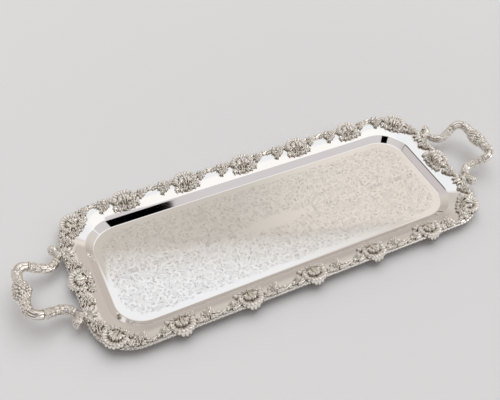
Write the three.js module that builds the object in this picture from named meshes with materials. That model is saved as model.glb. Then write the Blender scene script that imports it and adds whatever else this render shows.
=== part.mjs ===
// Oblong serving tray in silver plate, with two fixed cast handles.
//
// A pressed sheet body has a flat floor, a short curved wall (the bouge) and a sloping flange.
// An edge moulding is fitted round the rim. Cast scallop shells and leaf links are soldered on the
// flange, all the way round, and a cast loop handle stands on two feet at each end.
//
// Millimetres. The origin is at the centre of the flat underside that the tray rests on. +X runs
// along the tray to the right handle, +Y across it to the far side, and +Z up.
// "Run" is the distance outwards from the edge of the flat floor, seen from above.

import * as THREE from 'three';

// ---------------------------------------------------------------- driving dimensions

const SHEET = 1.2;
const SOLDER_GAP = 0.7;

const FLOOR_LENGTH = 460;
const FLOOR_WIDTH = 149.2;
const FLOOR_CORNER = 36;
const CORNER_GROWTH = 0.45;
const CORNER_STEPS = 10;

const BOUGE = { run: 8.2, height: 7.8 };
const FLANGE = { run: 22, height: 13.6 };
const EDGE = { run: 34, height: 14.6 };

const MOULDING = { inner: 34.4, outer: 36.4, bottom: 11.6, top: 15.4 };

const BORDER_RUN = 28;
const SHELLS_PER_SIDE = 5;
const SHELL_PITCH = 84.8;
const SHELL_HALF = 17;
const SHELL_RELIEF = 3.4;
const SHELL_RIB = 0.5;
const SHELL_RIBS = 9;

const LINK_EDGE = 5.4;
const FLANGE_BEND = FLANGE.run - BORDER_RUN;
const LINK_STEM = -0.5;
const LINK_LEAF = -10;
const LINK_RELIEF = 2.2;
const LINK_LEAVES = [0.14, 0.67];
const SHORT_LINK_LEAVES = [0.4];

const HANDLE_Y = 46;
const FOOT_HALF = 7;
const LEG_RADIUS = 5;
const CORNER_RADIUS = 6.2;
const CURL_RADIUS = 5.6;
const CLUSTER = { x: 321.2, z: 31.6, length: 33.8, radius: 12.4, neck: 6, flattening: 0.78 };

const SILVER = { color: 0xcbc6bd, roughness: 0.18, metalness: 1 };
const CAST_SILVER = { color: 0xbdb4a6, roughness: 0.32, metalness: 1 };

// ---------------------------------------------------------------- shared geometry

const tray = new THREE.Group();

function addPart(name, geometry, finish) {
  const mesh = new THREE.Mesh(geometry, new THREE.MeshStandardMaterial(finish));
  mesh.name = name;
  tray.add(mesh);
}

// A closed solid from rings of equal length. Each ring joins the next one; the two end rings are
// closed by a fan about their middle, or join each other when the solid is looped.
function loft(rings, looped = false) {
  const count = rings[0].length;
  const points = rings.flat();
  const faces = [];
  const bands = looped ? rings.length : rings.length - 1;
  for (let i = 0; i < bands; i++) {
    const here = i * count;
    const next = ((i + 1) % rings.length) * count;
    for (let j = 0; j < count; j++) {
      const k = (j + 1) % count;
      faces.push([here + j, next + j, next + k], [here + j, next + k, here + k]);
    }
  }
  if (!looped) {
    const last = points.length - count;
    for (const [ring, start, forward] of [[rings[0], 0, true], [rings.at(-1), last, false]]) {
      const middle = points.length;
      points.push(ring.reduce((sum, p) => sum.add(p), new THREE.Vector3()).divideScalar(count));
      for (let j = 0; j < count; j++) {
        const k = (j + 1) % count;
        faces.push(forward ? [middle, start + j, start + k] : [middle, start + k, start + j]);
      }
    }
  }
  return facingOut(points, faces);
}

// The faces are turned over if the volume that they enclose comes out negative.
function facingOut(points, faces) {
  const volume = faces.reduce((sum, [a, b, c]) => {
    return sum + points[a].dot(new THREE.Vector3().crossVectors(points[b], points[c]));
  }, 0);
  const index = faces.flatMap(([a, b, c]) => (volume > 0 ? [a, b, c] : [a, c, b]));
  const geometry = new THREE.BufferGeometry().setFromPoints(points);
  geometry.setIndex(index);
  geometry.computeVertexNormals();
  return geometry;
}

function ringSize(run) {
  return {
    halfLength: FLOOR_LENGTH / 2 + run,
    halfWidth: FLOOR_WIDTH / 2 + run,
    radius: FLOOR_CORNER + CORNER_GROWTH * run,
  };
}

// The rounded rectangle at one run, as a ring of points at one height.
function ringOutline(run, height) {
  const { halfLength, halfWidth, radius } = ringSize(run);
  const points = [];
  for (let quarter = 0; quarter < 4; quarter++) {
    const signX = quarter === 0 || quarter === 3 ? 1 : -1;
    const signY = quarter < 2 ? 1 : -1;
    for (let i = 0; i <= CORNER_STEPS; i++) {
      const angle = (quarter + i / CORNER_STEPS) * Math.PI / 2;
      const x = signX * (halfLength - radius) + radius * Math.cos(angle);
      const y = signY * (halfWidth - radius) + radius * Math.sin(angle);
      points.push(new THREE.Vector3(x, y, height));
    }
  }
  return points;
}

// ---------------------------------------------------------------- body and edge moulding

const TOP_PROFILE = [{ run: 0, height: SHEET }, BOUGE, FLANGE, EDGE];

// The underside lies one sheet thickness below the top, square to the slope.
function bottomProfile() {
  return TOP_PROFILE.map((point, i) => {
    if (i === 0) {
      return { run: SHEET / 2, height: 0 };
    }
    const before = TOP_PROFILE[i - 1];
    const after = TOP_PROFILE[Math.min(i + 1, TOP_PROFILE.length - 1)];
    const slope = Math.atan2(after.height - before.height, after.run - before.run);
    return {
      run: point.run + SHEET * Math.sin(slope),
      height: point.height - SHEET * Math.cos(slope),
    };
  });
}

function trayBody() {
  const profile = [...TOP_PROFILE, ...bottomProfile().reverse()];
  return loft(profile.map(({ run, height }) => ringOutline(run, height)));
}

function edgeMoulding() {
  const { inner, outer, bottom, top } = MOULDING;
  const bevel = (outer - inner) / 3;
  const profile = [
    [inner, top - bevel],
    [inner + bevel, top],
    [outer - bevel, top],
    [outer, top - bevel],
    [outer, bottom + bevel],
    [outer - bevel, bottom],
    [inner, bottom],
  ];
  return loft(profile.map(([run, height]) => ringOutline(run, height)), true);
}

// ---------------------------------------------------------------- places on the flange

// Distance of a point from the rounded rectangle at one run: negative inside it.
function distanceFromRing(x, y, run) {
  const { halfLength, halfWidth, radius } = ringSize(run);
  const dx = Math.abs(x) - (halfLength - radius);
  const dy = Math.abs(y) - (halfWidth - radius);
  const outside = Math.hypot(Math.max(dx, 0), Math.max(dy, 0));
  return outside + Math.min(Math.max(dx, dy), 0) - radius;
}

function runAt(x, y) {
  let low = 0;
  let high = 60;
  for (let i = 0; i < 30; i++) {
    const middle = (low + high) / 2;
    if (distanceFromRing(x, y, middle) > 0) {
      low = middle;
    } else {
      high = middle;
    }
  }
  return low;
}

function sheetHeight(run) {
  const next = Math.max(1, TOP_PROFILE.findIndex((point) => point.run >= run));
  if (run >= EDGE.run) {
    return EDGE.height;
  }
  const [a, b] = [TOP_PROFILE[next - 1], TOP_PROFILE[next]];
  return a.height + (b.height - a.height) * (run - a.run) / (b.run - a.run);
}

// The height that the underside of a casting takes: just above the flange, above the edge moulding
// once it reaches over the rim, and drooping outside it.
function seatHeight(x, y) {
  const run = runAt(x, y);
  if (run < MOULDING.inner - 1.5) {
    return sheetHeight(run) + SOLDER_GAP;
  }
  return MOULDING.top + SOLDER_GAP - Math.max(0, run - MOULDING.outer - SOLDER_GAP);
}

const BORDER = ringSize(BORDER_RUN);
const LONG_STRAIGHT = BORDER.halfLength - BORDER.radius;
const SHORT_STRAIGHT = BORDER.halfWidth - BORDER.radius;
const CORNER_ARC = BORDER.radius * Math.PI / 2;
const QUARTER = LONG_STRAIGHT + CORNER_ARC + SHORT_STRAIGHT;

// A place on the border's centre line. Distance is measured clockwise, seen from above, from the
// middle of the far side. Gives the point and its outward direction.
function borderPlace(distance) {
  const travelled = ((distance % (4 * QUARTER)) + 4 * QUARTER) % (4 * QUARTER);
  const quarter = Math.floor(travelled / QUARTER);
  const rest = travelled - quarter * QUARTER;
  const along = quarter % 2 === 0 ? rest : QUARTER - rest;
  const signX = quarter < 2 ? 1 : -1;
  const signY = quarter === 0 || quarter === 3 ? 1 : -1;
  const turned = THREE.MathUtils.clamp((along - LONG_STRAIGHT) / BORDER.radius, 0, Math.PI / 2);
  const x = Math.min(along, LONG_STRAIGHT) + BORDER.radius * Math.sin(turned);
  const beyond = Math.max(0, along - LONG_STRAIGHT - CORNER_ARC);
  const y = SHORT_STRAIGHT - beyond + BORDER.radius * Math.cos(turned);
  return {
    x: signX * x,
    y: signY * y,
    outX: signX * Math.sin(turned),
    outY: signY * Math.cos(turned),
  };
}

// One cross row of a casting: along its underside and back over its top. Each spot gives a place in
// plan and the thickness of the casting there.
function castingRow(spots) {
  const under = spots.map(({ x, y }) => new THREE.Vector3(x, y, seatHeight(x, y)));
  const over = spots.map(({ x, y, thickness }) => new THREE.Vector3(x, y, seatHeight(x, y) + thickness));
  return [...under, ...over.reverse()];
}

// ---------------------------------------------------------------- scallop shells

// Half widths of a shell from the tips of its leaf skirt, over the flange, to the top of its fan,
// which overhangs the edge moulding. Across is measured outwards from the border's centre line.
const SHELL_OUTLINE = [
  { across: -19, half: 9 },
  { across: -15, half: 15.5 },
  { across: -10, half: 15 },
  { across: -5, half: 12.5 },
  { across: 0, half: 14 },
  { across: 5, half: 16 },
  { across: 9, half: 14 },
  { across: 12, half: 9.5 },
  { across: 13.4, half: 4 },
];
const SHELL_COLUMNS = 6;

function shell(distance) {
  const centre = borderPlace(distance);
  const rows = SHELL_OUTLINE.map(({ across, half }) => {
    const spots = [];
    for (let i = 0; i <= SHELL_COLUMNS; i++) {
      const share = 2 * i / SHELL_COLUMNS - 1;
      const side = share * half;
      const crown = SHELL_RELIEF * (1 - share * share);
      const rib = SHELL_RIB * Math.cos(share * Math.PI * (SHELL_RIBS - 1) / 2);
      spots.push({
        x: centre.x + centre.outX * across + centre.outY * side,
        y: centre.y + centre.outY * across - centre.outX * side,
        thickness: 1 + crown + rib * (across > 0 ? 1 : 0),
      });
    }
    return castingRow(spots);
  });
  return loft(rows);
}

// ---------------------------------------------------------------- leaf links

// How far the inner edge of a link reaches across the flange: a pointed leaf beside each shell and
// a thin stem between them. Share runs from 0 at one end to 1 at the other.
function leafReach(share, leaves) {
  const toLeaf = Math.min(...leaves.map((leaf) => Math.abs(share - leaf)));
  const leafWidth = 0.2 / leaves.length + 0.1;
  const fullness = Math.max(0, 1 - toLeaf / leafWidth);
  return LINK_STEM + (LINK_LEAF - LINK_STEM) * fullness;
}

function link(from, to, leaves, steps) {
  const rows = [];
  for (let i = 0; i <= steps; i++) {
    const share = i / steps;
    const place = borderPlace(from + (to - from) * share);
    const inner = leafReach(share, leaves);
    const shoulder = inner < FLANGE_BEND ? FLANGE_BEND : (2 * inner + LINK_EDGE) / 3;
    const spots = [inner, shoulder, (shoulder + LINK_EDGE) / 2, LINK_EDGE].map((across, k) => {
      return {
        x: place.x + place.outX * across,
        y: place.y + place.outY * across,
        thickness: k % 3 === 0 ? 0.9 : LINK_RELIEF,
      };
    });
    rows.push(castingRow(spots));
  }
  return loft(rows);
}

// ---------------------------------------------------------------- handles

function placedOn(side, end, [x, y, z]) {
  return new THREE.Vector3(end * x, side * y, z);
}

function tube(points, radius, steps) {
  const section = new THREE.Shape().absarc(0, 0, radius, 0, 2 * Math.PI);
  const path = new THREE.CatmullRomCurve3(points);
  return new THREE.ExtrudeGeometry(section, { steps, curveSegments: 5, extrudePath: path });
}

const LEG_PATH = [
  [269, 46, 16.4],
  [270.8, 45.7, 16.3],
  [274.5, 39.6, 16],
  [279.4, 34.4, 16.2],
  [285.6, 30.8, 17.2],
  [292, 31.4, 19.8],
  [298.6, 33, 22.6],
  [302, 33.9, 24.4],
];

const CORNER_PATH = [
  [302.6, 34.1, 24.8],
  [307, 35.2, 27.4],
  [312.5, 35.2, 30],
  [317.8, 32.2, 31.2],
  [320.8, 27, 31.6],
  [321.2, 21, 31.6],
  [321.2, 17.4, 31.6],
];

const CURL_PATH = [
  [273, 51.2, 16.6],
  [274.5, 54, 16.8],
  [275.3, 57, 16.9],
  [275.3, 60, 16.8],
];

// The foot is a leaf that lies on the flange and reaches out over the edge moulding.
function handleFoot(side, end) {
  const rows = [-3, 1, 5, 9.4].map((across) => {
    const spots = [-1, -0.5, 0, 0.5, 1].map((part) => ({
      x: end * (BORDER.halfLength + across),
      y: side * (HANDLE_Y + part * FOOT_HALF),
      thickness: 1 + 3.6 * (1 - part * part) * (across > 0 ? 1 : 0.6),
    }));
    return castingRow(spots);
  });
  return loft(rows);
}

function handleCluster(end) {
  const { length, radius, neck, flattening, x, z } = CLUSTER;
  const profile = [
    [0, -length / 2],
    [neck, -length / 2],
    [radius * 0.72, -length / 3],
    [radius * 0.96, -length / 7],
    [radius * 0.96, length / 7],
    [radius * 0.72, length / 3],
    [neck, length / 2],
    [0, length / 2],
  ];
  const bulb = new THREE.LatheGeometry(profile.map(([r, y]) => new THREE.Vector2(r, y)), 14);
  return bulb.scale(1, 1, flattening).translate(end * x, 0, z);
}

// ---------------------------------------------------------------- assembly

// Shell centres round the border, with the names of the shells, clockwise from the far left.
function shellPlaces() {
  const places = [];
  const cornerPlace = LONG_STRAIGHT + CORNER_ARC / 2;
  for (const [side, turn, ends] of [['far', 0, ['left', 'right']], ['near', 2, ['right', 'left']]]) {
    const middle = turn * QUARTER;
    places.push({ name: `shell_corner_${side}_${ends[0]}`, distance: middle - cornerPlace });
    for (let i = 0; i < SHELLS_PER_SIDE; i++) {
      const offset = (i - (SHELLS_PER_SIDE - 1) / 2) * SHELL_PITCH;
      const number = turn === 0 ? i + 1 : SHELLS_PER_SIDE - i;
      places.push({ name: `shell_${side}_${number}`, distance: middle + offset });
    }
    places.push({ name: `shell_corner_${side}_${ends[1]}`, distance: middle + cornerPlace });
    places.push({ name: `shell_end_${ends[1]}`, distance: middle + QUARTER });
  }
  return places;
}

function addBorder() {
  const places = shellPlaces();
  for (const { name, distance } of places) {
    addPart(name, shell(distance), CAST_SILVER);
  }
  const feet = [1, 1, 3, 3].map((turn, i) => turn * QUARTER + (i % 2 === 0 ? -HANDLE_Y : HANDLE_Y));
  let linkNumber = 0;
  let halfNumber = 0;
  places.forEach(({ distance }, i) => {
    const next = places[i + 1] ?? { distance: places[0].distance + 4 * QUARTER };
    const from = distance + SHELL_HALF;
    const to = next.distance - SHELL_HALF;
    const foot = feet.find((place) => place > from && place < to);
    if (foot === undefined) {
      linkNumber += 1;
      addPart(`leaf_link_${linkNumber}`, link(from, to, LINK_LEAVES, 10), CAST_SILVER);
      return;
    }
    const clear = FOOT_HALF + SOLDER_GAP;
    for (const [start, finish] of [[from, foot - clear], [foot + clear, to]]) {
      halfNumber += 1;
      addPart(`handle_leaf_${halfNumber}`, link(start, finish, SHORT_LINK_LEAVES, 5), CAST_SILVER);
    }
  });
}

function addHandles() {
  for (const [endName, end] of [['left', -1], ['right', 1]]) {
    for (const [sideName, side] of [['far', 1], ['near', -1]]) {
      const place = (path) => path.map((point) => placedOn(side, end, point));
      const name = `handle_${endName}`;
      addPart(`${name}_foot_${sideName}`, handleFoot(side, end), CAST_SILVER);
      addPart(`${name}_leg_${sideName}`, tube(place(LEG_PATH), LEG_RADIUS, 12), CAST_SILVER);
      addPart(`${name}_curl_${sideName}`, tube(place(CURL_PATH), CURL_RADIUS, 5), CAST_SILVER);
      addPart(`${name}_corner_${sideName}`, tube(place(CORNER_PATH), CORNER_RADIUS, 10), CAST_SILVER);
    }
    addPart(`handle_${endName}_grip_ornament`, handleCluster(end), CAST_SILVER);
  }
}

addPart('tray_body', trayBody(), SILVER);
addPart('edge_moulding', edgeMoulding(), SILVER);
addBorder();
addHandles();

export default tray;
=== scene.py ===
"""The looks of a silver-plated serving tray: polished sheet, engraved floor, cast border and handles.

Lengths are in millimetres until a mesh is made. "Run" is the distance outwards from the edge of the
flat floor, "u" runs along the border and "v" across it, outwards from its centre line.
"""

import math

import bpy
import numpy as np
from mathutils import Matrix, Vector


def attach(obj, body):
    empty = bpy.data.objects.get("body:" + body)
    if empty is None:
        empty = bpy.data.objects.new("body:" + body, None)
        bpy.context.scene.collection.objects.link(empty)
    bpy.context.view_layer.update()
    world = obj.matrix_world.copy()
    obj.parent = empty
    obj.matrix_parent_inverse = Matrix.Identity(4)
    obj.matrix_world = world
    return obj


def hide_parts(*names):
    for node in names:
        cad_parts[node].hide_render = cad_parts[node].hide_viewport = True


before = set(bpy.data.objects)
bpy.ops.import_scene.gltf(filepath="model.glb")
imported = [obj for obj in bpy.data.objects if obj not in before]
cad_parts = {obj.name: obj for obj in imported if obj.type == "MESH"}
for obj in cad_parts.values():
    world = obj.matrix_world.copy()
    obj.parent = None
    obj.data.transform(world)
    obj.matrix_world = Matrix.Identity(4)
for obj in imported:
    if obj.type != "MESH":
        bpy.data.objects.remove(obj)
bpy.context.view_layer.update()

MM = 0.001
TAU = 2 * math.pi

# ------------------------------------------------------------------ dimensions, as in the CAD

SHEET = 1.2
FLOOR_LENGTH, FLOOR_WIDTH = 460.0, 149.2
FLOOR_CORNER, CORNER_GROWTH = 36.0, 0.45
BOUGE_RUN, BOUGE_HEIGHT = 8.2, 7.8
FLANGE_RUN, FLANGE_HEIGHT = 22.0, 13.6
EDGE_RUN, EDGE_HEIGHT = 34.0, 14.6
MOULDING_INNER, MOULDING_OUTER = 33.6, 36.6
MOULDING_BOTTOM, MOULDING_TOP = 10.9, 15.1
BORDER_RUN = 28.0
SHELL_PITCH, SHELL_HALF = 84.8, 17.0
HANDLE_Y = 46.0
GRIP_X, GRIP_Z = 321.2, 31.6


def set_camera():
    camera = bpy.data.objects.new("camera", bpy.data.cameras.new("camera"))
    camera.data.sensor_width = 36.0
    camera.data.lens = 47.8
    camera.data.clip_end = 50.0
    distance = 0.8891
    elevation, yaw, roll = math.radians(48.24), math.radians(-28.67), math.radians(3.889)
    back = Vector((
        math.sin(yaw) * math.cos(elevation),
        -math.cos(yaw) * math.cos(elevation),
        math.sin(elevation),
    ))
    right = Vector((0, 0, 1)).cross(back).normalized()
    up = back.cross(right)
    rolled_right = math.cos(roll) * right + math.sin(roll) * up
    rolled_up = math.cos(roll) * up - math.sin(roll) * right
    target = Vector((-13.9, 46.2, SHEET)) * MM
    turned = Matrix((rolled_right, rolled_up, back)).transposed().to_4x4()
    camera.matrix_world = Matrix.Translation(target + back * distance) @ turned
    bpy.context.scene.collection.objects.link(camera)
    bpy.context.scene.camera = camera


set_camera()

# ------------------------------------------------------------------ the sheet's shape


def ring_size(run):
    return FLOOR_LENGTH / 2 + run, FLOOR_WIDTH / 2 + run, FLOOR_CORNER + CORNER_GROWTH * run


def ring_outline(run, corner_steps=22, long_steps=24, short_steps=6):
    """The rounded rectangle at one run, anticlockwise, as an array of (x, y)."""
    half_length, half_width, radius = ring_size(run)
    ax, ay = half_length - radius, half_width - radius
    points = []
    for quarter, (sx, sy) in enumerate(((1, 1), (-1, 1), (-1, -1), (1, -1))):
        angles = (quarter + np.linspace(0, 1, corner_steps + 1)) * math.pi / 2
        arc = np.stack([sx * ax + radius * np.cos(angles), sy * ay + radius * np.sin(angles)], 1)
        points.append(arc)
        steps = long_steps if quarter % 2 == 0 else short_steps
        nx, ny = ((-1, 1), (-1, -1), (1, -1), (1, 1))[quarter]
        turn = (quarter + 1) * math.pi / 2
        far = np.array([nx * ax + radius * math.cos(turn), ny * ay + radius * math.sin(turn)])
        share = np.linspace(0, 1, steps + 1)[1:-1, None]
        points.append(arc[-1] * (1 - share) + far * share)
    return np.concatenate(points)


def rounded_path(points, softness, steps=7):
    """The path through the points with each inner corner replaced by a short curve."""
    points = [np.array(p, float) for p in points]
    out = [points[0]]
    for before, corner, after, soft in zip(points, points[1:], points[2:], softness):
        a = corner + (before - corner) * soft / np.linalg.norm(before - corner)
        b = corner + (after - corner) * soft / np.linalg.norm(after - corner)
        for t in np.linspace(0, 1, steps + 1):
            out.append((1 - t) ** 2 * a + 2 * t * (1 - t) * corner + t ** 2 * b)
    out.append(points[-1])
    return np.array(out)


TOP_PROFILE = rounded_path(
    [(-3, SHEET), (0, SHEET), (BOUGE_RUN, BOUGE_HEIGHT), (FLANGE_RUN, FLANGE_HEIGHT),
     (EDGE_RUN, EDGE_HEIGHT)],
    (0.8, 1.1, 7.0), 9)


def sheet_height(run):
    return np.interp(run, TOP_PROFILE[:, 0], TOP_PROFILE[:, 1])


def run_at(x, y):
    """The run of each point: the rounded rectangle of the family that passes through it."""
    low, high = np.full(np.shape(x), -20.0), np.full(np.shape(x), 70.0)
    for _ in range(28):
        middle = (low + high) / 2
        half_length, half_width, radius = ring_size(middle)
        dx, dy = np.abs(x) - (half_length - radius), np.abs(y) - (half_width - radius)
        outside = np.hypot(np.maximum(dx, 0), np.maximum(dy, 0))
        beyond = outside + np.minimum(np.maximum(dx, dy), 0) - radius > 0
        low, high = np.where(beyond, middle, low), np.where(beyond, high, middle)
    return low


def seat_height(x, y):
    """The surface that castings lie on: the flange, then the crown of the edge moulding."""
    run = run_at(x, y)
    over_rim = np.clip((run - (MOULDING_INNER - 2.5)) / 2.5, 0, 1)
    past_rim = np.maximum(run - MOULDING_OUTER - 0.5, 0)
    sheet = sheet_height(run)
    return sheet + (MOULDING_TOP - EDGE_HEIGHT) * over_rim - 0.27 * past_rim ** 2, run


BORDER_A, BORDER_B, BORDER_R = ring_size(BORDER_RUN)
LONG_STRAIGHT, SHORT_STRAIGHT = BORDER_A - BORDER_R, BORDER_B - BORDER_R
CORNER_ARC = BORDER_R * math.pi / 2
QUARTER = LONG_STRAIGHT + CORNER_ARC + SHORT_STRAIGHT


def border_place(distance):
    """Points on the border's centre line, measured clockwise from the middle of the far side, and
    the outward direction there."""
    travelled = np.mod(distance, 4 * QUARTER)
    quarter = np.minimum(travelled // QUARTER, 3)
    rest = travelled - quarter * QUARTER
    along = np.where(quarter % 2 == 0, rest, QUARTER - rest)
    sign_x = np.where(quarter < 2, 1, -1)
    sign_y = np.where((quarter == 0) | (quarter == 3), 1, -1)
    turned = np.clip((along - LONG_STRAIGHT) / BORDER_R, 0, math.pi / 2)
    x = np.minimum(along, LONG_STRAIGHT) + BORDER_R * np.sin(turned)
    y = SHORT_STRAIGHT - np.maximum(0, along - LONG_STRAIGHT - CORNER_ARC)
    y = y + BORDER_R * np.cos(turned)
    return sign_x * x, sign_y * y, sign_x * np.sin(turned), sign_y * np.cos(turned)


# ------------------------------------------------------------------ meshes


def new_piece(name, vertices, faces, material, cavity=None, smooth=True):
    """A mesh object in metres from points in millimetres. Cavity is how sunk each point lies."""
    mesh = bpy.data.meshes.new(name)
    mesh.from_pydata((np.asarray(vertices) * MM).tolist(), [], faces)
    mesh.update()
    if smooth:
        mesh.shade_smooth()
    if cavity is not None:
        # The cast materials paint the hollows darker from this cavity, partly as tarnish and partly as
        # painted shade.
        layer = mesh.attributes.new("cavity", "FLOAT", "POINT")
        layer.data.foreach_set("value", np.asarray(cavity, np.float32).ravel())
    mesh.materials.append(material)
    piece = bpy.data.objects.new(name, mesh)
    bpy.context.scene.collection.objects.link(piece)
    return piece


def hand_over(piece, nodes):
    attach(piece, "root")
    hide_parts(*nodes)


def ring_faces(rings, count, looped):
    faces = []
    for i in range(rings if looped else rings - 1):
        here, there = i * count, (i + 1) % rings * count
        for j in range(count):
            k = (j + 1) % count
            faces.append((here + j, there + j, there + k, here + k))
    return faces


def pole_faces(rings, count):
    """Triangles that close the first and last ring on two poles, which come after the rings."""
    first, last, faces = rings * count, rings * count + 1, []
    for j in range(count):
        k = (j + 1) % count
        faces.append((first, j, k))
        faces.append((last, (rings - 1) * count + k, (rings - 1) * count + j))
    return faces


def loft(profile, capped, **steps):
    """Vertices and faces of a ring lofted through a profile of (run, height) points."""
    rings = []
    for run, height in profile:
        outline = ring_outline(run, **steps)
        rings.append(np.column_stack([outline, np.full(len(outline), height)]))
    count = len(rings[0])
    faces = ring_faces(len(rings), count, not capped)
    if capped:
        last = (len(rings) - 1) * count
        faces.append(tuple(range(count)))
        faces.append(tuple(range(last + count - 1, last - 1, -1)))
    return np.concatenate(rings), faces


def make_body(material):
    slopes = np.gradient(TOP_PROFILE, axis=0)
    slopes /= np.linalg.norm(slopes, axis=1)[:, None]
    under = TOP_PROFILE + SHEET * np.column_stack([slopes[:, 1], -slopes[:, 0]])
    profile = np.concatenate([TOP_PROFILE, under[::-1]])
    vertices, faces = loft(profile, True)
    hand_over(new_piece("tray_sheet", vertices, faces, material), ["tray_body"])


def make_moulding(material):
    """A half-round moulding with slanting flutes, like a rope, round the rim."""
    middle, half = (MOULDING_INNER + MOULDING_OUTER) / 2, (MOULDING_OUTER - MOULDING_INNER) / 2
    flute_pitch, flute_depth = 5.4, 0.8
    steps = dict(corner_steps=130, long_steps=640, short_steps=170)
    tall = (MOULDING_TOP - MOULDING_BOTTOM) / 2
    centre = ring_outline(middle, **steps)
    rings, hollows = [], []
    for angle in np.linspace(0, TAU, 12, endpoint=False):
        run = middle + half * math.cos(angle)
        outline = ring_outline(run, **steps)
        reach = np.concatenate([[0], np.cumsum(np.hypot(*np.diff(outline, axis=0).T))])
        wave = np.abs(np.sin(math.pi * (reach / flute_pitch) + 0.7 * angle)) ** 0.7
        height = (MOULDING_TOP + MOULDING_BOTTOM) / 2 + tall * math.sin(angle)
        swell = flute_depth * (wave - 1) * max(0.0, math.sin(angle) + 0.6)
        outward = (outline - centre) / half
        rings.append(np.column_stack([outline + outward * swell[:, None], height + swell * 0.8]))
        # Painted shade and tarnish: the flutes' grooves get a cavity that paints them darker.
        hollows.append(np.clip((1 - wave) * 1.1, 0, 1))
    vertices = np.concatenate(rings)
    faces = [face[::-1] for face in ring_faces(len(rings), len(rings[0]), True)]
    piece = new_piece("rope_moulding", vertices, faces, material, np.concatenate(hollows))
    hand_over(piece, ["edge_moulding"])


# ------------------------------------------------------------------ relief of the castings


class Relief:
    """A height map over (u, v). The inside field is positive on the casting and falls off like a
    distance outside it; the height is that of the highest feature at each point."""

    def __init__(self, u_range, v_range, step=0.42):
        us = np.arange(u_range[0], u_range[1] + step, step)
        vs = np.arange(v_range[0], v_range[1] + step, step)
        self.u, self.v = np.meshgrid(us, vs)
        self.inside = np.full(self.u.shape, -50.0)
        self.height = np.zeros(self.u.shape)

    def add(self, inside, height, lip=0.9):
        share = np.clip(inside / lip, 0, 1)
        rounded = height * np.sqrt(np.clip(1 - (1 - share) ** 2, 0, 1))
        self.inside = np.maximum(self.inside, inside)
        self.height = np.maximum(self.height, np.where(inside > 0, rounded, 0))

    def bead(self, u, v, radius, height):
        distance = np.hypot(self.u - u, self.v - v)
        self.add(radius - distance, height, radius)

    def ridge(self, path, widths, heights):
        """A rounded cord along a path of (u, v) points."""
        path = np.asarray(path, float)
        widths = np.broadcast_to(np.asarray(widths, float), len(path))
        heights = np.broadcast_to(np.asarray(heights, float), len(path))
        for p, q, r0, r1, h0, h1 in zip(path, path[1:], widths, widths[1:], heights, heights[1:]):
            d = q - p
            t = ((self.u - p[0]) * d[0] + (self.v - p[1]) * d[1]) / max(d @ d, 1e-9)
            t = np.clip(t, 0, 1)
            gap = np.hypot(self.u - p[0] - t * d[0], self.v - p[1] - t * d[1])
            radius = r0 + (r1 - r0) * t
            inside = radius - gap
            top = (h0 + (h1 - h0) * t) * np.sqrt(np.clip(1 - (gap / radius) ** 2, 0, 1))
            self.inside = np.maximum(self.inside, inside)
            self.height = np.maximum(self.height, np.where(inside > 0, top, 0))

    def petal(self, base, tip, width, height, groove=0.0):
        """A rounded lobe from base to tip, widest past its middle, with a groove if wanted."""
        base, tip = np.asarray(base, float), np.asarray(tip, float)
        along = tip - base
        length = np.linalg.norm(along)
        along /= length
        du, dv = self.u - base[0], self.v - base[1]
        t = (du * along[0] + dv * along[1]) / length
        w = -du * along[1] + dv * along[0]
        inner = np.clip(t, 0.001, 0.999)
        half = np.maximum(width * np.sin(math.pi * inner ** 1.25) ** 0.8, 0.05)
        beyond = np.maximum(-t, t - 1) * length
        past_side = np.maximum(np.abs(w) - half, 0)
        inside = np.where(beyond > 0, -np.hypot(past_side, beyond), half - np.abs(w))
        body = np.sqrt(np.clip(1 - (w / half) ** 2, 0, 1)) * (0.55 + 0.45 * inner ** 0.5)
        body -= groove * np.exp(-(w / 0.5) ** 2)
        self.inside = np.maximum(self.inside, inside)
        self.height = np.maximum(self.height, np.where(inside > 0, height * body, 0))

    def acanthus(self, base, tip, width, height, lobes=3):
        """A leaf with a raised rib, and lobes that point forwards down both of its sides."""
        base, tip = np.asarray(base, float), np.asarray(tip, float)
        along = tip - base
        across = np.array([-along[1], along[0]]) / np.linalg.norm(along)
        self.petal(base + along * 0.35, tip, width * 0.6, height)
        for k in range(lobes):
            share = (k + 0.2) / lobes
            root = base + along * share * 0.8
            reach = width * (1.25 - 0.6 * abs(share - 0.4))
            for side in (-1, 1):
                end = root + along * 0.36 + across * side * reach
                lift = height * (1.02 - 0.2 * share + 0.1 * side)
                self.petal(root, end, width * 0.5, lift)

    def fan(self, hinge, radius, span, ribs, heights, rib_height):
        """A scallop of rounded ribs that radiate from a hinge. Heights go from hinge to lip."""
        du, dv = self.u - hinge[0], self.v - hinge[1]
        r, turn = np.hypot(du, dv), np.arctan2(du, dv)
        rib = np.abs(np.cos(turn / span * math.pi * ribs / 2)) ** 0.6
        edge = radius * (0.92 + 0.08 * rib)
        inside = np.minimum(edge - r, (span - np.abs(turn)) * r)
        reach = np.clip(r / radius, 0, 1)
        dome = np.interp(reach, np.linspace(0, 1, len(heights)), heights)
        dome = dome + rib_height * (rib - 1) * np.clip(reach * 2.2 - 0.3, 0, 1)
        self.add(inside, dome, 1.3)


def spiral(centre, start_radius, end_radius, start_angle, turns, steps=22):
    t = np.linspace(0, 1, steps)
    radius = start_radius + (end_radius - start_radius) * t
    angle = math.radians(start_angle) + TAU * turns * t
    return np.column_stack([centre[0] + radius * np.cos(angle), centre[1] + radius * np.sin(angle)])


def blurred(field, passes):
    for _ in range(passes):
        padded = np.pad(field, 1, mode="edge")
        field = (padded[:-2, 1:-1] + padded[2:, 1:-1] + padded[1:-1, :-2] + padded[1:-1, 2:]
                 + 2 * field) / 6
    return field


def sunk(height):
    """From 0 on the high spots to 1 in the hollows."""
    # This value paints the castings darker: partly tarnish, partly painted shade in the hollows and on the
    # low ground.
    near = (blurred(height, 9) - height) / 0.34
    wide = (blurred(height, 70) - height) / 1.4
    return np.clip(0.1 + 0.65 * near + 0.5 * wide + 0.3 * (height < 0.35), 0, 1)


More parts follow.
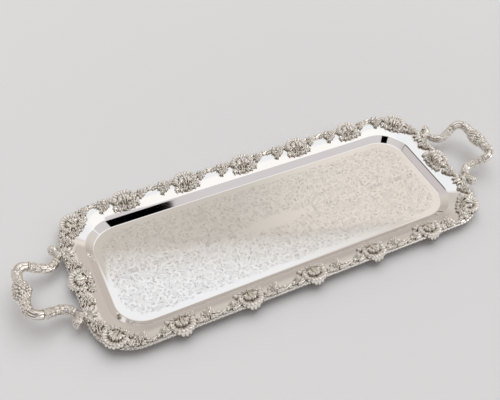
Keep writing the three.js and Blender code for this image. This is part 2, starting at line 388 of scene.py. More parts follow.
def relief_solid(relief, place):
    """Vertices, faces and cavity of the closed casting. Place turns (u, v) into (x, y)."""
    inside, height = relief.inside, relief.height
    here = inside > 0
    cells = here[:-1, :-1] | here[1:, :-1] | here[:-1, 1:] | here[1:, 1:]
    used = np.zeros(inside.shape, bool)
    for rows in (slice(0, -1), slice(1, None)):
        for columns in (slice(0, -1), slice(1, None)):
            used[rows, columns] |= cells
    step = relief.u[0, 1] - relief.u[0, 0]
    slope_v, slope_u = np.gradient(inside, step)
    steep = np.maximum(slope_u ** 2 + slope_v ** 2, 0.3)
    shift = np.clip(np.where(here, 0, -inside / steep), 0, 1.2 * step)
    u = (relief.u + slope_u * shift)[used]
    v = (relief.v + slope_v * shift)[used]
    x, y = place(u, v)
    seat, run = seat_height(x, y)
    drop = 0.3 + 0.7 * np.clip((run - MOULDING_OUTER) / 1.5, 0, 1)
    top = np.column_stack([x, y, seat + np.where(here, height, 0)[used]])
    bottom = np.column_stack([x, y, seat - drop])
    count = len(x)
    index = np.full(inside.shape, -1)
    index[used] = np.arange(count)
    a, b, c, d = index[:-1, :-1], index[:-1, 1:], index[1:, 1:], index[1:, :-1]
    quads = np.stack([a, b, c, d], -1)[cells]
    faces = quads.tolist() + (quads[:, ::-1] + count).tolist()
    padded = np.pad(cells, 1)
    for shifted, p, q in (
        (padded[:-2, 1:-1], a, b), (padded[1:-1, 2:], b, c),
        (padded[2:, 1:-1], c, d), (padded[1:-1, :-2], d, a),
    ):
        rim = cells & ~shifted
        p, q = p[rim], q[rim]
        faces += np.stack([q, p, p + count, q + count], -1).tolist()
    # Painted shade and tarnish: the cut sides get 0.9 and the underside 0.8, so they are painted as dark
    # as the deepest hollows.
    hollow = np.where(here, sunk(height), 0.9)[used]
    return np.concatenate([top, bottom]), faces, np.concatenate([hollow, np.full(count, 0.8)])


# ------------------------------------------------------------------ border castings


def shell_relief():
    relief = Relief((-19.6, 19.6), (-21.5, 15.5), 0.42)
    oval = 1 - np.hypot(relief.u / 14.5, (relief.v + 4) / 13)
    relief.add(oval * 12, 0.8, 1.0)
    relief.fan((0, -2.6), 16.4, math.radians(99), 11, (2, 2.2, 2.8, 3.6, 4.8, 5.6, 4.2), 0.9)
    relief.fan((0, -4.4), 9.4, math.radians(104), 7, (4.6, 5.4, 6.4, 6.8, 5.4), 0.9)
    relief.petal((0, -10), (0, 5.4), 3.1, 9.0)
    for side in (-1, 1):
        relief.petal((side * 2.0, -9.5), (side * 7.0, 2.6), 2.3, 7.4)
        volute = spiral((side * 11.8, -4.4), 3.6, 1.2, 90 - side * 70, side * 1.2)
        relief.ridge(volute, np.linspace(1.5, 1.1, len(volute)), np.linspace(5.0, 5.8, len(volute)))
        relief.bead(side * 11.8, -4.4, 1.3, 6.2)
        relief.acanthus((side * 7.0, -9.0), (side * 18.2, -12.6), 2.6, 4.2)
        relief.acanthus((side * 8.0, -8.0), (side * 18.2, -9.2), 2.1, 4.2, 2)
        relief.acanthus((side * 4.2, -9.4), (side * 11.4, -15.0), 2.4, 4.2)
        relief.acanthus((side * 1.4, -9.6), (side * 4.4, -15.2), 2.0, 4.3)
        relief.bead(side * 4.0, -10.4, 1.9, 6.6)
        relief.bead(side * 8.0, -8.8, 1.6, 5.8)
        relief.bead(side * 16.2, -1.0, 1.7, 4.2)
    return relief


def leaf_cluster(relief, at, tip_v, size=1.0):
    """Lobed leaves that spread from one foot. The longest reaches in over the flange."""
    foot = np.array([at + 3.0 * size, 0.6])
    relief.acanthus(foot, (at - 3.4 * size, tip_v), 2.7 * size, 5.8)
    for degrees, reach, height in (
        (196, 10.0, 5.0), (278, 9.4, 5.4), (322, 8.8, 4.8), (8, 8.6, 4.6), (62, 7.4, 4.4), (128, 8.2, 4.6),
    ):
        turn = math.radians(degrees)
        tip = foot + reach * size * np.array([math.cos(turn), math.sin(turn)])
        relief.acanthus(foot, tip, 2.3 * size, height, 2)
    relief.bead(foot[0], foot[1], 2.2 * size, 6.2)
    curl = spiral((at + 12.4 * size, 2.4), 2.7 * size, 0.9, 60, -1.1, 14)
    relief.ridge(curl, 1.2, 4.4)
    relief.bead(at + 12.4 * size, 2.4, 1.2, 4.8)


def link_relief(length, leaves):
    """The run between two shells: leaves on a thin wavy stem."""
    relief = Relief((-1.5, length + 1.5), (-13.5, 9.6), 0.42)
    relief.ridge([(0, 3.0), (length, 3.0)], 2.3, 1.5)
    along = np.linspace(0, length, max(8, int(length / 1.5)))
    wave = 3.6 + 1.3 * np.sin(along / length * TAU * 2.5)
    relief.ridge(np.column_stack([along, wave]), 1.1, 3.0)
    sprigs = max(2, round(length / 6.2))
    for k in range(sprigs):
        at = (k + 0.7) * length / sprigs
        out = 1 if k % 2 else -1
        relief.petal((at, 3.4), (at - 4.6, 3.4 + 3.6 * out), 1.5, 3.6, 0.2)
        relief.bead(at - 0.4, 3.4 + 2.6 * out, 1.2, 3.4)
    for at, tip_v, size in leaves:
        leaf_cluster(relief, at, tip_v, size)
    return relief


def shell_places():
    corner = LONG_STRAIGHT + CORNER_ARC / 2
    places = []
    for side, turn, ends in (("far", 0, ("left", "right")), ("near", 2, ("right", "left"))):
        middle = turn * QUARTER
        places.append((f"shell_corner_{side}_{ends[0]}", middle - corner))
        for i in range(5):
            number = i + 1 if turn == 0 else 5 - i
            places.append((f"shell_{side}_{number}", middle + (i - 2) * SHELL_PITCH))
        places.append((f"shell_corner_{side}_{ends[1]}", middle + corner))
        places.append((f"shell_end_{ends[1]}", middle + QUARTER))
    return places


def straight_place(distance):
    """Lays a relief flat along the border's direction at one distance."""
    x0, y0, out_x, out_y = (float(value) for value in border_place(distance))

    def place(u, v):
        return x0 + out_x * v + out_y * u, y0 + out_y * v - out_x * u

    return place


def bent_place(start):
    """Bends a relief along the border from one distance."""

    def place(u, v):
        x, y, out_x, out_y = border_place(start + u)
        return x + out_x * v, y + out_y * v

    return place


def make_casting(relief, node, place, material):
    vertices, faces, cavity = relief_solid(relief, place)
    hand_over(new_piece("cast_" + node, vertices, faces, material, cavity), [node])


def make_border(material):
    places = shell_places()
    shell = shell_relief()
    for node, distance in places:
        make_casting(shell, node, straight_place(distance), material)
    handle = QUARTER - HANDLE_Y
    seats = [handle, 2 * QUARTER - handle, 2 * QUARTER + handle, 4 * QUARTER - handle]
    lap, foot_gap = 1.5, 5
    links = halves = 0
    laps = places[1:] + [(places[0][0], places[0][1] + 4 * QUARTER)]
    for (_, distance), (_, after) in zip(places, laps):
        start, stop = distance + SHELL_HALF - lap, after - SHELL_HALF + lap
        seat = next((s for s in seats if start < s < stop), None)
        if seat is None:
            links += 1
            length = stop - start
            relief = link_relief(length, ((length * 0.12, -7, 0.66), (length * 0.68, -11.4, 1.0)))
            make_casting(relief, f"leaf_link_{links}", bent_place(start), material)
            continue
        for begin, finish in ((start, seat - foot_gap), (seat + foot_gap, stop)):
            halves += 1
            length = finish - begin
            relief = link_relief(length, ((length * 0.38, -10, 0.9),))
            make_casting(relief, f"handle_leaf_{halves}", bent_place(begin), material)


# ------------------------------------------------------------------ handles


def smooth_path(points, count):
    """A Catmull-Rom curve through the points."""
    points = np.asarray(points, float)
    padded = np.concatenate([[2 * points[0] - points[1]], points, [2 * points[-1] - points[-2]]])
    out = []
    for t in np.linspace(0, len(points) - 1, count):
        i = min(int(t), len(points) - 2)
        s = t - i
        a, b, c, d = padded[i:i + 4]
        out.append(0.5 * (2 * b + (c - a) * s + (2 * a - 5 * b + 4 * c - d) * s ** 2
                          + (3 * b - a - 3 * c + d) * s ** 3))
    return np.array(out)


def sweep(points, radius, steps, around, texture):
    """A tube along the points. Radius gives the plain radius at a share of its length; texture
    adds to it at (share, angle) and is also what sets the cavity."""
    path = smooth_path(points, steps)
    tangent = np.gradient(path, axis=0)
    tangent /= np.linalg.norm(tangent, axis=1)[:, None]
    side = np.cross(tangent, (0, 0, 1.0))
    side /= np.linalg.norm(side, axis=1)[:, None]
    up = np.cross(side, tangent)
    share = np.linspace(0, 1, steps)[:, None]
    angle = np.linspace(0, TAU, around, endpoint=False)[None, :]
    relief = texture(share, angle) * np.ones((steps, around))
    reach = radius(share) + relief
    points = (path[:, None] + side[:, None] * (reach * np.cos(angle))[..., None]
              + up[:, None] * (reach * np.sin(angle))[..., None])
    faces = ring_faces(steps, around, False) + pole_faces(steps, around)
    vertices = np.concatenate([points.reshape(-1, 3), path[:1], path[-1:]])
    # The cavity paints the low parts of the texture darker, partly as tarnish and partly as painted shade;
    # the two poles get a middle value.
    return vertices, faces, np.concatenate([sunk(relief + 0.6).ravel(), [0.5, 0.5]])


def scales(share, angle, rows, columns, depth):
    """Overlapping rounded leaves, each row set half a leaf round from the last."""
    total = np.zeros(np.broadcast(share, angle).shape)
    for k in range(-1, int(rows) + 2):
        along = share * rows - k
        turned = (angle / TAU * columns + 0.5 * (k % 2)) % 1.0 - 0.5
        inner = np.clip(along / 1.7, 0.001, 0.999)
        half = 0.56 * np.sin(math.pi * inner ** 1.3) ** 0.7
        blade = np.sqrt(np.clip(1 - (turned / half) ** 2, 0, 1)) * (0.35 + 0.65 * inner)
        blade = blade - 0.2 * np.exp(-(turned / 0.07) ** 2)
        total = np.maximum(total, np.where((along > 0) & (along < 1.7), blade, 0))
    return depth * total


def reeds(share, angle, count, depth, twist=0.0):
    return depth * (np.abs(np.cos((angle + twist * share * TAU) * count / 2)) ** 0.7 - 1)


def beads_round(share, angle, centre, width, count, height):
    """A ring of beads round a stem."""
    across = np.clip(1 - ((share - centre) / width) ** 2, 0, 1)
    return height * np.sqrt(across) * (0.35 + 0.65 * np.abs(np.cos(angle * count / 2)) ** 0.6)


LEG_PATH = [
    (263.5, 46.6, 15.8), (269, 45.9, 16.4), (274.5, 39.6, 16), (279.4, 34.4, 16.2),
    (285.6, 30.8, 17.2), (292, 31.4, 19.8), (298.6, 33, 22.6), (302.6, 34.1, 24.8),
]
CORNER_PATH = [
    (301.8, 33.8, 24.3), (307, 35.2, 27.4), (312.5, 35.2, 30), (317.8, 32.2, 31.2), (320.8, 27, 31.6),
    (321.2, 21, 31.6), (321.2, 12, 31.6),
]
CURL_PATH = [
    (267.5, 44, 16), (270.6, 47.2, 16.4), (273.2, 50.4, 16.8), (274.4, 54, 17.2), (274, 57.6, 17.2),
    (273, 60, 17),
]


def leg_texture(share, angle):
    """A plain stem with a collar next to the rim, then overlapping leaves up to the corner."""
    leafy = scales(share, angle, 8.5, 5, 2.3) * np.clip((share - 0.3) * 14, 0, 1)
    collar = beads_round(share, angle, 0.965, 0.03, 8, 1.6)
    ring = beads_round(share, angle, 0.3, 0.035, 7, 1.7)
    stem = reeds(share, angle, 5, 0.5) * np.clip((0.28 - share) * 20, 0, 1)
    return np.maximum(np.maximum(leafy, collar), ring) + stem - 0.6


def corner_texture(share, angle):
    """Reeded round the bend between two rings of beads, and leafy next to the ornament."""
    bend = np.clip((share - 0.17) * 30, 0, 1) * np.clip((0.6 - share) * 20, 0, 1)
    reeded = reeds(share, angle, 6, 0.9, 0.2) * bend + 0.75 * bend
    leafy = scales(1 - share, angle, 10, 5, 1.9) * np.clip((share - 0.62) * 30, 0, 1)
    start = scales(share, angle, 10, 6, 1.3) * np.clip((0.13 - share) * 30, 0, 1)
    rings = np.maximum(beads_round(share, angle, 0.155, 0.025, 8, 1.7),
                       beads_round(share, angle, 0.615, 0.03, 8, 1.8))
    return np.maximum(np.maximum(leafy, start), np.maximum(reeded, rings)) - 0.5


def curl_texture(share, angle):
    """A leaf rolled up at its end."""
    return scales(share, angle, 6, 5, 1.7) - 0.5


def leg_radius(share):
    return np.interp(share, (0, 0.25, 0.34, 0.5, 0.9, 1), (4.1, 4.3, 4.7, 5.0, 5.0, 5.4))


def corner_radius(share):
    return np.interp(share, (0, 0.12, 0.2, 0.4, 0.58, 0.7, 1), (5.2, 5.4, 5.6, 6.1, 5.6, 5.6, 6))


def curl_radius(share):
    swell = np.interp(share, (0, 0.3, 0.58, 0.85), (2.8, 3.9, 5.9, 5.8))
    return swell * np.sqrt(np.clip(1 - np.clip((share - 0.72) / 0.285, 0, 1) ** 2, 0, 1)) + 0.05


def make_handles(material):
    for end_name, end in (("left", -1), ("right", 1)):
        for side_name, side in (("far", 1), ("near", -1)):
            flip = np.array([end, side, 1.0])
            for part, path, radius, steps, around, texture in (
                ("leg", LEG_PATH, leg_radius, 150, 72, leg_texture),
                ("corner", CORNER_PATH, corner_radius, 140, 84, corner_texture),
                ("curl", CURL_PATH, curl_radius, 80, 60, curl_texture),
            ):
                vertices, faces, cavity = sweep(path, radius, steps, around, texture)
                vertices = vertices * flip
                if end * side < 0:
                    faces = [face[::-1] for face in faces]
                node = f"handle_{end_name}_{part}_{side_name}"
                piece = new_piece("cast_" + node, vertices, faces, material, cavity)
                hand_over(piece, [node])
            make_foot(f"handle_{end_name}_foot_{side_name}", end, side, material)
        make_ornament(f"handle_{end_name}_grip_ornament", end, material)


def make_foot(node, end, side, material):
    relief = Relief((-10, 10), (-9.5, 11.5), 0.45)
    relief.add(8 - np.hypot(relief.u / 0.9, relief.v - 2), 1.0, 1.0)
    relief.petal((0, 9), (0, -8.6), 2.6, 4.4, 0.3)
    for turn in (-1, 1):
        relief.petal((turn * 1, 7.5), (turn * 6.2, -6.4), 2.2, 4.2, 0.3)
        relief.petal((turn * 1.5, 7), (turn * 9.4, -0.6), 2.0, 4.2, 0.3)
        relief.bead(turn * 5.4, 7, 2.0, 4.4)
    relief.bead(0, 6.2, 3.9, 5.4)
    middle = (QUARTER if end > 0 else 3 * QUARTER) - end * side * HANDLE_Y
    make_casting(relief, node, bent_place(middle), material)


def make_ornament(node, end, material):
    """A flower on a cluster of leaves and berries, round the middle of the grip."""
    centre = np.array([end * GRIP_X, 0, GRIP_Z])
    core = np.array([9.6, 16.4, 7.6])
    rows, around, berries = 170, 130, 150
    lean = np.linspace(0.02, math.pi - 0.02, rows)[:, None]
    angle = np.linspace(0, TAU, around, endpoint=False)[None, :]
    normal = np.stack([
        np.sin(lean) * np.cos(angle), -np.cos(lean) * np.ones_like(angle), np.sin(lean) * np.sin(angle),
    ], -1)
    surface = normal * core
    bumps = []
    golden = math.pi * (3 - math.sqrt(5))
    for k in range(berries):
        y = 1 - 2 * (k + 0.5) / berries
        ring = math.sqrt(1 - y * y)
        spot = np.array([ring * math.cos(golden * k), y, ring * math.sin(golden * k)]) * core
        bumps.append((spot, 1.9 + 0.35 * math.sin(2.3 * k), 1.3 + 0.4 * math.cos(1.7 * k)))
    for flower_x, flower_z in ((0.1, 0.99), (0.75, -0.66)):
        facing = np.array([flower_x * end, 0, flower_z])
        middle = facing * core
        sideways = np.array([facing[2], 0, -facing[0]])
        for k in range(5):
            turn = TAU * k / 5 + 0.4
            spot = middle + 4.6 * (math.sin(turn) * sideways + math.cos(turn) * np.array([0, 1.0, 0]))
            bumps.append((spot, 2.7, 2.1))
        bumps.append((middle, 1.7, 2.7))
    for k in range(4):
        bumps.append((np.array([-end * 9.2, 1.5 - 3.0 * (k % 2), 2.2 - 2.8 * (k // 2)]), 2.2, 2.6))
    relief = np.zeros(surface.shape[:2])
    for spot, radius, height in bumps:
        gap = np.linalg.norm(surface - spot, axis=-1)
        relief = np.maximum(relief, height * np.sqrt(np.clip(1 - (gap / radius) ** 2, 0, 1)))
    outward = normal / core
    outward /= np.linalg.norm(outward, axis=-1)[..., None]
    shaped = surface + outward * relief[..., None]
    poles = [[0, -core[1], 0], [0, core[1], 0]]
    vertices = np.concatenate([shaped.reshape(-1, 3), poles]) + centre
    faces = ring_faces(rows, around, False) + pole_faces(rows, around)
    # Painted shade and tarnish: the cavity darkens the ornament between its bumps.
    cavity = np.concatenate([sunk(relief).ravel(), [0.5, 0.5]])
    piece = new_piece("cast_" + node, vertices, faces, material, cavity)
    hand_over(piece, [node])


# ------------------------------------------------------------------ engraving


class Engraving:
    """Fine cut lines, as slender three-sided strips that lie in the floor's surface."""

    def __init__(self, width=0.32, depth=0.085):
        self.width, self.depth = width, depth
        self.vertices, self.faces = [], []

    def stroke(self, points, weight=1.0):
        points = np.asarray(points, float)
        tangent = np.gradient(points, axis=0)
        tangent /= np.maximum(np.linalg.norm(tangent, axis=1), 1e-6)[:, None]
        normal = np.column_stack([-tangent[:, 1], tangent[:, 0]])
        share = np.linspace(0, 1, len(points))
        swell = weight * (0.25 + 0.75 * np.sin(math.pi * share) ** 0.6)
        half = (self.width / 2 * swell)[:, None]
        start = len(self.vertices)
        for left, middle, right, tall in zip(
            points + normal * half, points, points - normal * half, self.depth * swell
        ):
            self.vertices += [(*left, SHEET - 0.02), (*middle, SHEET + tall), (*right, SHEET - 0.02)]
        for i in range(len(points) - 1):
            a = start + 3 * i
            self.faces += [(a + 1, a, a + 3, a + 4), (a + 2, a + 1, a + 4, a + 5),
                           (a, a + 2, a + 5, a + 3)]
        last = start + 3 * (len(points) - 1)
        self.faces += [(start, start + 1, start + 2), (last + 2, last + 1, last)]


def petal_flower(x, y, radius, turn, petals=5):
    strokes = []
    for k in range(petals):
        angle = turn + TAU * k / petals
        t = np.linspace(0, TAU, 11)
        reach = radius * (0.62 - 0.38 * np.cos(t))
        swing = 0.5 * np.sin(t) * TAU / petals
        strokes.append(np.column_stack([x + reach * np.cos(angle + swing),
                                        y + reach * np.sin(angle + swing)]))
    t = np.linspace(0, TAU, 9)
    strokes.append(np.column_stack([x + radius * 0.2 * np.cos(t), y + radius * 0.2 * np.sin(t)]))
    return strokes


def leaf_scroll(x, y, radius, turn, hand):
    """A spiral stem with leaves on its outer side."""
    strokes = [spiral((x, y), radius, radius * 0.16, math.degrees(turn), hand * 1.35, 26)]
    for k in range(6):
        angle = turn + hand * TAU * k * 0.15
        base = radius * (1 - 0.093 * k)
        t = np.linspace(0, 1, 6)
        for spread in (0.0, 0.55):
            reach = base + t * radius * (0.5 - spread * 0.25)
            swing = angle + hand * (spread + 0.5) * t ** 1.4 * 0.8
            strokes.append(np.column_stack([x + reach * np.cos(swing), y + reach * np.sin(swing)]))
    return strokes


def leaf_spray(x, y, length, turn):
    """A bent stem with pairs of leaves."""
    t = np.linspace(0, 1, 10)
    bend = turn + 0.9 * t
    step = length / len(t)
    px, py = x + np.cumsum(np.cos(bend)) * step, y + np.cumsum(np.sin(bend)) * step
    strokes = [np.column_stack([px, py])]
    for i in range(1, 9, 2):
        for hand in (-1, 1):
            s = np.linspace(0, 1, 6)
            out = bend[i] + hand * (1.15 - 0.6 * s)
            reach = length * 0.34 * (1 - 0.06 * i) * s
            strokes.append(np.column_stack([px[i] + reach * np.cos(out), py[i] + reach * np.sin(out)]))
    return strokes


def hatching(x, y, length, turn, count=4):
    strokes = []
    for k in range(count):
        offset = (k - count / 2) * 0.8
        px, py = x - math.sin(turn) * offset, y + math.cos(turn) * offset
        t = np.linspace(-0.5, 0.5, 4) * length * (1 - 0.12 * k)
        strokes.append(np.column_stack([px + t * math.cos(turn), py + t * math.sin(turn)]))
    return strokes


ENGRAVED_RUN = -8.0
CARTOUCHE = (58.0, 8.5)


def engraved_here(x, y, margin=0.0):
    """True on the engraved field: inside the plain margin and outside the plain cartouche."""
    in_field = run_at(np.array(x), np.array(y)) < ENGRAVED_RUN - margin
    shape = abs(x / (CARTOUCHE[0] + margin)) ** 1.6 + abs(y / (CARTOUCHE[1] + margin)) ** 1.6
    return bool(in_field) and shape > 1


def engraving_motifs():
    """Motifs of one quarter of the floor, packed without much overlap. They are mirrored later."""
    random = np.random.default_rng(7)
    placed, motifs = np.empty((0, 3)), []
    for kind, radius, tries, close in (
        ("scroll", 7.0, 1200, 1.7), ("flower", 3.7, 1500, 1.6), ("spray", 2.9, 3200, 1.35),
        ("tendril", 1.9, 3600, 1.2), ("hatch", 1.3, 1500, 1.5), ("dot", 0.8, 2000, 1.4),
    ):
        for _ in range(tries):
            x = random.uniform(0, FLOOR_LENGTH / 2)
            y = random.uniform(0, FLOOR_WIDTH / 2)
            turn = random.uniform(0, TAU)
            if not engraved_here(x, y, radius * 0.75):
                continue
            gaps = np.hypot(placed[:, 0] - x, placed[:, 1] - y)
            if np.any(gaps < (radius + placed[:, 2]) * close / 2):
                continue
            placed = np.vstack([placed, (x, y, radius)])
            motifs.append((kind, x, y, radius, turn))
    return motifs


def motif_strokes(kind, x, y, radius, turn):
    if kind == "scroll":
        hand = 1 if math.sin(x * 0.21) > 0 else -1
        return leaf_scroll(x, y, radius * 0.82, turn, hand) + petal_flower(x, y, radius * 0.3, turn)
    if kind == "flower":
        return petal_flower(x, y, radius, turn)
    if kind == "spray":
        return leaf_spray(x - 1.5 * math.cos(turn), y - 1.5 * math.sin(turn), radius * 2, turn)
    if kind == "tendril":
        hand = 1 if math.cos(y * 0.37) > 0 else -1
        return [spiral((x, y), 2.0, 0.6, math.degrees(turn), hand * 0.9, 9)]
    if kind == "hatch":
        return hatching(x, y, radius * 1.7, turn)
    t = np.linspace(0, TAU, 7)
    return [np.column_stack([x + 0.45 * np.cos(t), y + 0.45 * np.sin(t)])]


def make_engraving(material):
    cut = Engraving()
    for motif in engraving_motifs():
        for stroke in motif_strokes(*motif):
            for mirror in ((1, 1), (-1, 1), (1, -1), (-1, -1)):
                cut.stroke(stroke * mirror)
    piece = new_piece("floor_engraving", cut.vertices, cut.faces, material, smooth=False)
    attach(piece, "root")


# ------------------------------------------------------------------ materials


def metal(name, colour, roughness):
    material = bpy.data.materials.new(name)
    material.use_nodes = True
    shader = material.node_tree.nodes["Principled BSDF"]
    shader.inputs["Metallic"].default_value = 1.0
    shader.inputs["Base Color"].default_value = (*colour, 1)
    shader.inputs["Roughness"].default_value = roughness
    return material, material.node_tree, shader


def noise(tree, scale, detail=3.0, stretch=(1, 1, 1)):
    place = tree.nodes.new("ShaderNodeTexCoord")
    mapping = tree.nodes.new("ShaderNodeMapping")
    mapping.inputs["Scale"].default_value = stretch
    texture = tree.nodes.new("ShaderNodeTexNoise")
    texture.inputs["Scale"].default_value = scale
    texture.inputs["Detail"].default_value = detail
    tree.links.new(place.outputs["Object"], mapping.inputs["Vector"])
    tree.links.new(mapping.outputs["Vector"], texture.inputs["Vector"])
    return texture.outputs["Fac"]


def ramp(tree, source, stops):
    node = tree.nodes.new("ShaderNodeValToRGB")
    elements = node.color_ramp.elements
    while len(elements) < len(stops):
        elements.new(0.5)
    for element, (place, colour) in zip(elements, stops):
        element.position = place
        element.color = (*colour, 1)
    tree.links.new(source, node.inputs["Fac"])
    return node.outputs["Color"]


def levels(tree, source, low, high):
    node = tree.nodes.new("ShaderNodeMapRange")
    node.inputs["To Min"].default_value = low
    node.inputs["To Max"].default_value = high
    tree.links.new(source, node.inputs["Value"])
    return node.outputs["Result"]


def bump(tree, shader, source, strength, distance):
    node = tree.nodes.new("ShaderNodeBump")
    node.inputs["Strength"].default_value = strength
    node.inputs["Distance"].default_value = distance
    tree.links.new(source, node.inputs["Height"])
    tree.links.new(node.outputs["Normal"], shader.inputs["Normal"])


def polished_silver():
    """Mirror-bright plate with faint polishing wear."""
    material, tree, shader = metal("polished_silver", (0.93, 0.905, 0.875), 0.1)
    wear = noise(tree, 38, 5)
    tree.links.new(levels(tree, wear, 0.02, 0.06), shader.inputs["Roughness"])
    tint = ramp(tree, noise(tree, 9, 2), [(0.3, (0.94, 0.92, 0.90)), (0.75, (0.92, 0.89, 0.855))])
    tree.links.new(tint, shader.inputs["Base Color"])
    bump(tree, shader, noise(tree, 420, 3, (0.25, 1, 1)), 0.035, 0.0002)
    return material


def engraved_silver():
    """The walls of the cut lines, dulled by what polishing leaves in them."""
    material, tree, shader = metal("engraved_silver", (0.5, 0.47, 0.43), 0.32)
    tint = ramp(tree, noise(tree, 130, 3), [(0.4, (0.46, 0.44, 0.41)), (0.62, (0.88, 0.85, 0.82))])
    tree.links.new(tint, shader.inputs["Base Color"])
    return material


def cast_silver(name, bright, dark):
    """Cast and plated: bright on the high spots, brown-grey in the hollows, which is partly tarnish and
    partly painted shade.
    """
    material, tree, shader = metal(name, bright, 0.25)
    cavity = tree.nodes.new("ShaderNodeAttribute")
    cavity.attribute_name = "cavity"
    middle = tuple((b + d) / 2 for b, d in zip(bright, dark))
    grain = tree.nodes.new("ShaderNodeMath")
    grain.operation = "ADD"
    tree.links.new(levels(tree, noise(tree, 420, 2), -0.3, 0.3), grain.inputs[0])
    tree.links.new(cavity.outputs["Fac"], grain.inputs[1])
    # Painted shade: this ramp darkens the castings by their cavity, partly as tarnish and partly as the
    # shade that falls in the hollows.
    tint = ramp(tree, grain.outputs["Value"], [(0.34, bright), (0.6, middle), (0.92, dark)])
    tree.links.new(tint, shader.inputs["Base Color"])
    tree.links.new(levels(tree, cavity.outputs["Fac"], 0.08, 0.42), shader.inputs["Roughness"])
    bump(tree, shader, noise(tree, 900, 4), 0.16, 0.0003)
    return material


# ------------------------------------------------------------------ studio


def stage_floor():
    mesh = bpy.data.meshes.new("table")
    size = 4.0
    corners = [(-size, -size, 0), (size, -size, 0), (size, size, 0), (-size, size, 0)]
    mesh.from_pydata(corners, [], [(0, 1, 2, 3)])
    material = bpy.data.materials.new("table_paper")
    material.use_nodes = True
    shader = material.node_tree.nodes["Principled BSDF"]
    shader.inputs["Base Color"].default_value = (0.72, 0.722, 0.727, 1)
    shader.inputs["Roughness"].default_value = 0.9
    shader.inputs["Specular IOR Level"].default_value = 0.1
    mesh.materials.append(material)
    table = bpy.data.objects.new("table", mesh)
    bpy.context.scene.collection.objects.link(table)


def even(colour):
    """Stops of one colour from edge to edge."""
    return [(0.0, colour), (1.0, colour)]


def studio_card(name, centre, size, spin, aim, stops, strength, diffuse=False):
    """A flat card that the camera doesn't see: a lit panel or a black flag. The stops give its colour
    from its near edge to its far edge. Unless it is diffuse it shows only in reflections."""
    mesh = bpy.data.meshes.new(name)
    w, d = size[0] / 2, size[1] / 2
    mesh.from_pydata([(-w, -d, 0), (w, -d, 0), (w, d, 0), (-w, d, 0)], [], [(0, 1, 2, 3)])
    material = bpy.data.materials.new(name)
    material.use_nodes = True
    tree = material.node_tree
    tree.nodes.clear()
    emission = tree.nodes.new("ShaderNodeEmission")
    place = tree.nodes.new("ShaderNodeTexCoord")
    split = tree.nodes.new("ShaderNodeSeparateXYZ")
    tree.links.new(place.outputs["Generated"], split.inputs["Vector"])
    tree.links.new(ramp(tree, split.outputs["Y"], stops), emission.inputs["Color"])
    emission.inputs["Strength"].default_value = strength
    output = tree.nodes.new("ShaderNodeOutputMaterial")
    tree.links.new(emission.outputs["Emission"], output.inputs["Surface"])
    mesh.materials.append(material)
    card = bpy.data.objects.new(name, mesh)
    card.location = centre
    card.rotation_mode = "QUATERNION"
    if aim is not None:
        card.rotation_quaternion = (Vector(centre) - Vector(aim)).to_track_quat("Z", "Y")
    card.rotation_quaternion = card.rotation_quaternion @ Matrix.Rotation(spin, 3, "Z").to_quaternion()
    card.visible_camera = card.visible_shadow = False
    card.visible_diffuse = diffuse
    bpy.context.scene.collection.objects.link(card)


def world_light():
    """A warm pale room: duller low on the horizon, dark behind the camera and on the left."""
    world = bpy.data.worlds.new("studio")
    bpy.context.scene.world = world
    world.use_nodes = True
    tree = world.node_tree
    background = tree.nodes["Background"]
    place = tree.nodes.new("ShaderNodeTexCoord")

    def along(direction, low, high):
        dot = tree.nodes.new("ShaderNodeVectorMath")
        dot.operation = "DOT_PRODUCT"
        dot.inputs[1].default_value = Vector(direction).normalized()
        tree.links.new(place.outputs["Generated"], dot.inputs[0])
        span = tree.nodes.new("ShaderNodeMapRange")
        span.interpolation_type = "SMOOTHSTEP"
        span.inputs["From Min"].default_value = low
        span.inputs["From Max"].default_value = high
        tree.links.new(dot.outputs["Value"], span.inputs["Value"])
        return span.outputs["Result"]

    def over(under, factor, colour):
        mix = tree.nodes.new("ShaderNodeMix")
        mix.data_type = "RGBA"
        tree.links.new(factor, mix.inputs["Factor"])
        tree.links.new(under, mix.inputs[6])
        mix.inputs[7].default_value = (*colour, 1)
        return mix.outputs[2]

    split = tree.nodes.new("ShaderNodeSeparateXYZ")
    tree.links.new(place.outputs["Generated"], split.inputs["Vector"])
    shade = ramp(tree, split.outputs["Z"], [
        (0.0, (0.56, 0.51, 0.46)), (0.12, (0.56, 0.51, 0.47)), (0.26, (0.49, 0.455, 0.43)),
        (0.38, (0.57, 0.525, 0.48)), (0.6, (0.70, 0.665, 0.62)), (1.0, (0.70, 0.69, 0.69)),
    ])
    for direction, low, high, colour in (
        ((0.1, 0.62, 0.78), 0.9, 0.985, (0.62, 0.585, 0.545)),
        ((0.6, 0.42, 0.68), 0.93, 0.99, (0.84, 0.79, 0.735)),
        ((0.60, 0.60, 0.45), 0.963, 0.988, (0.60, 0.55, 0.51)),
        ((0.25, -0.6, 0.78), 0.7, 0.9, (0.68, 0.66, 0.68)),
        ((-0.6, 0.49, 0.62), 0.85, 0.97, (0.63, 0.59, 0.60)),
        ((0.1, -1.0, 0.25), 0.84, 0.94, (0.22, 0.20, 0.18)),
        ((-1.0, -0.1, 0.3), 0.76, 0.92, (0.26, 0.235, 0.21)),
        ((-0.55, -0.75, -0.35), 0.40, 0.60, (0.12, 0.105, 0.09)),
    ):
        shade = over(shade, along(direction, low, high), colour)
    tree.links.new(shade, background.inputs["Color"])
    background.inputs["Strength"].default_value = 1.0


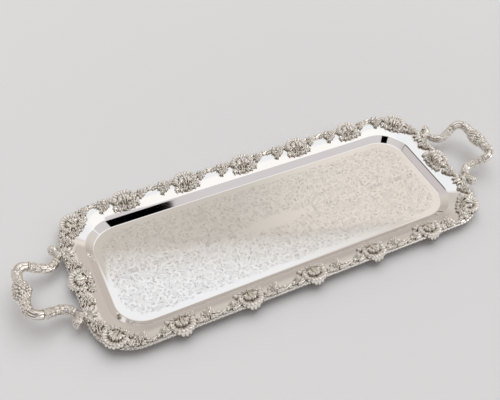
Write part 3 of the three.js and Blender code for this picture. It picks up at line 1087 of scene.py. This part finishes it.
def studio():
    stage_floor()
    world_light()
    studio_card(
        "scrim", (0.452, 0.403, 1.38), (1.34, 1.08), math.radians(-16), None,
        [(0.0, (0.96, 0.96, 0.96)), (0.3, (0.96, 0.96, 0.96)), (0.5, (0.83, 0.86, 0.90)),
         (0.85, (0.85, 0.87, 0.90)), (0.94, (0.75, 0.74, 0.73)), (1.0, (0.62, 0.595, 0.56))],
        1.09, diffuse=True)
    black, white, dull = even((0, 0, 0)), even((1, 0.99, 0.97)), even((0.68, 0.66, 0.68))
    for name, centre, size, strength in (
        ("front", (0.3, -1.8, 0.55), (2.4, 0.4), 1.5), ("side", (1.6, -1.1, 1.05), (0.6, 1.0), 3.2),
    ):
        studio_card(name, centre, size, 0, (0, 0, 0.05), white, strength)
    studio_card(
        "flag_corner", (-0.343, -2.368, 7.6), (1.9, 1.5), math.radians(-24), (0.217, 0.072, 0), black, 0)
    studio_card("flag_back", (0.415, -4.74, 6.43), (2.4, 1.9), 0, (0, 0, 0), black, 0)
    studio_card("cover", (-0.34, 0.11, 1.37), (0.26, 0.32), 0, None, dull, 1.0)
    studio_card("flag_left", (-0.36, 0.77, 1.24), (0.44, 0.30), 0, None, black, 0)
    lamp = bpy.data.objects.new("window", bpy.data.lights.new("window", "SUN"))
    lamp.data.energy = 1.4
    lamp.data.angle = math.radians(60)
    lamp.rotation_mode = "QUATERNION"
    lamp.rotation_quaternion = Vector((0.25, 0.3, 1.0)).to_track_quat("Z", "Y")
    lamp.visible_glossy = False
    bpy.context.scene.collection.objects.link(lamp)
    bpy.context.scene.view_settings.view_transform = "Standard"


# ------------------------------------------------------------------ assembly

sheet = polished_silver()
# The second colour of each is the brown-grey of the hollows: partly tarnish, partly painted shade.
border = cast_silver("border_silver", (0.93, 0.89, 0.83), (0.24, 0.20, 0.155))
handles = cast_silver("handle_silver", (0.93, 0.89, 0.825), (0.26, 0.215, 0.17))
moulding = cast_silver("moulding_silver", (0.93, 0.89, 0.83), (0.26, 0.215, 0.17))

make_body(sheet)
make_engraving(engraved_silver())
make_moulding(moulding)
make_border(border)
make_handles(handles)
studio()
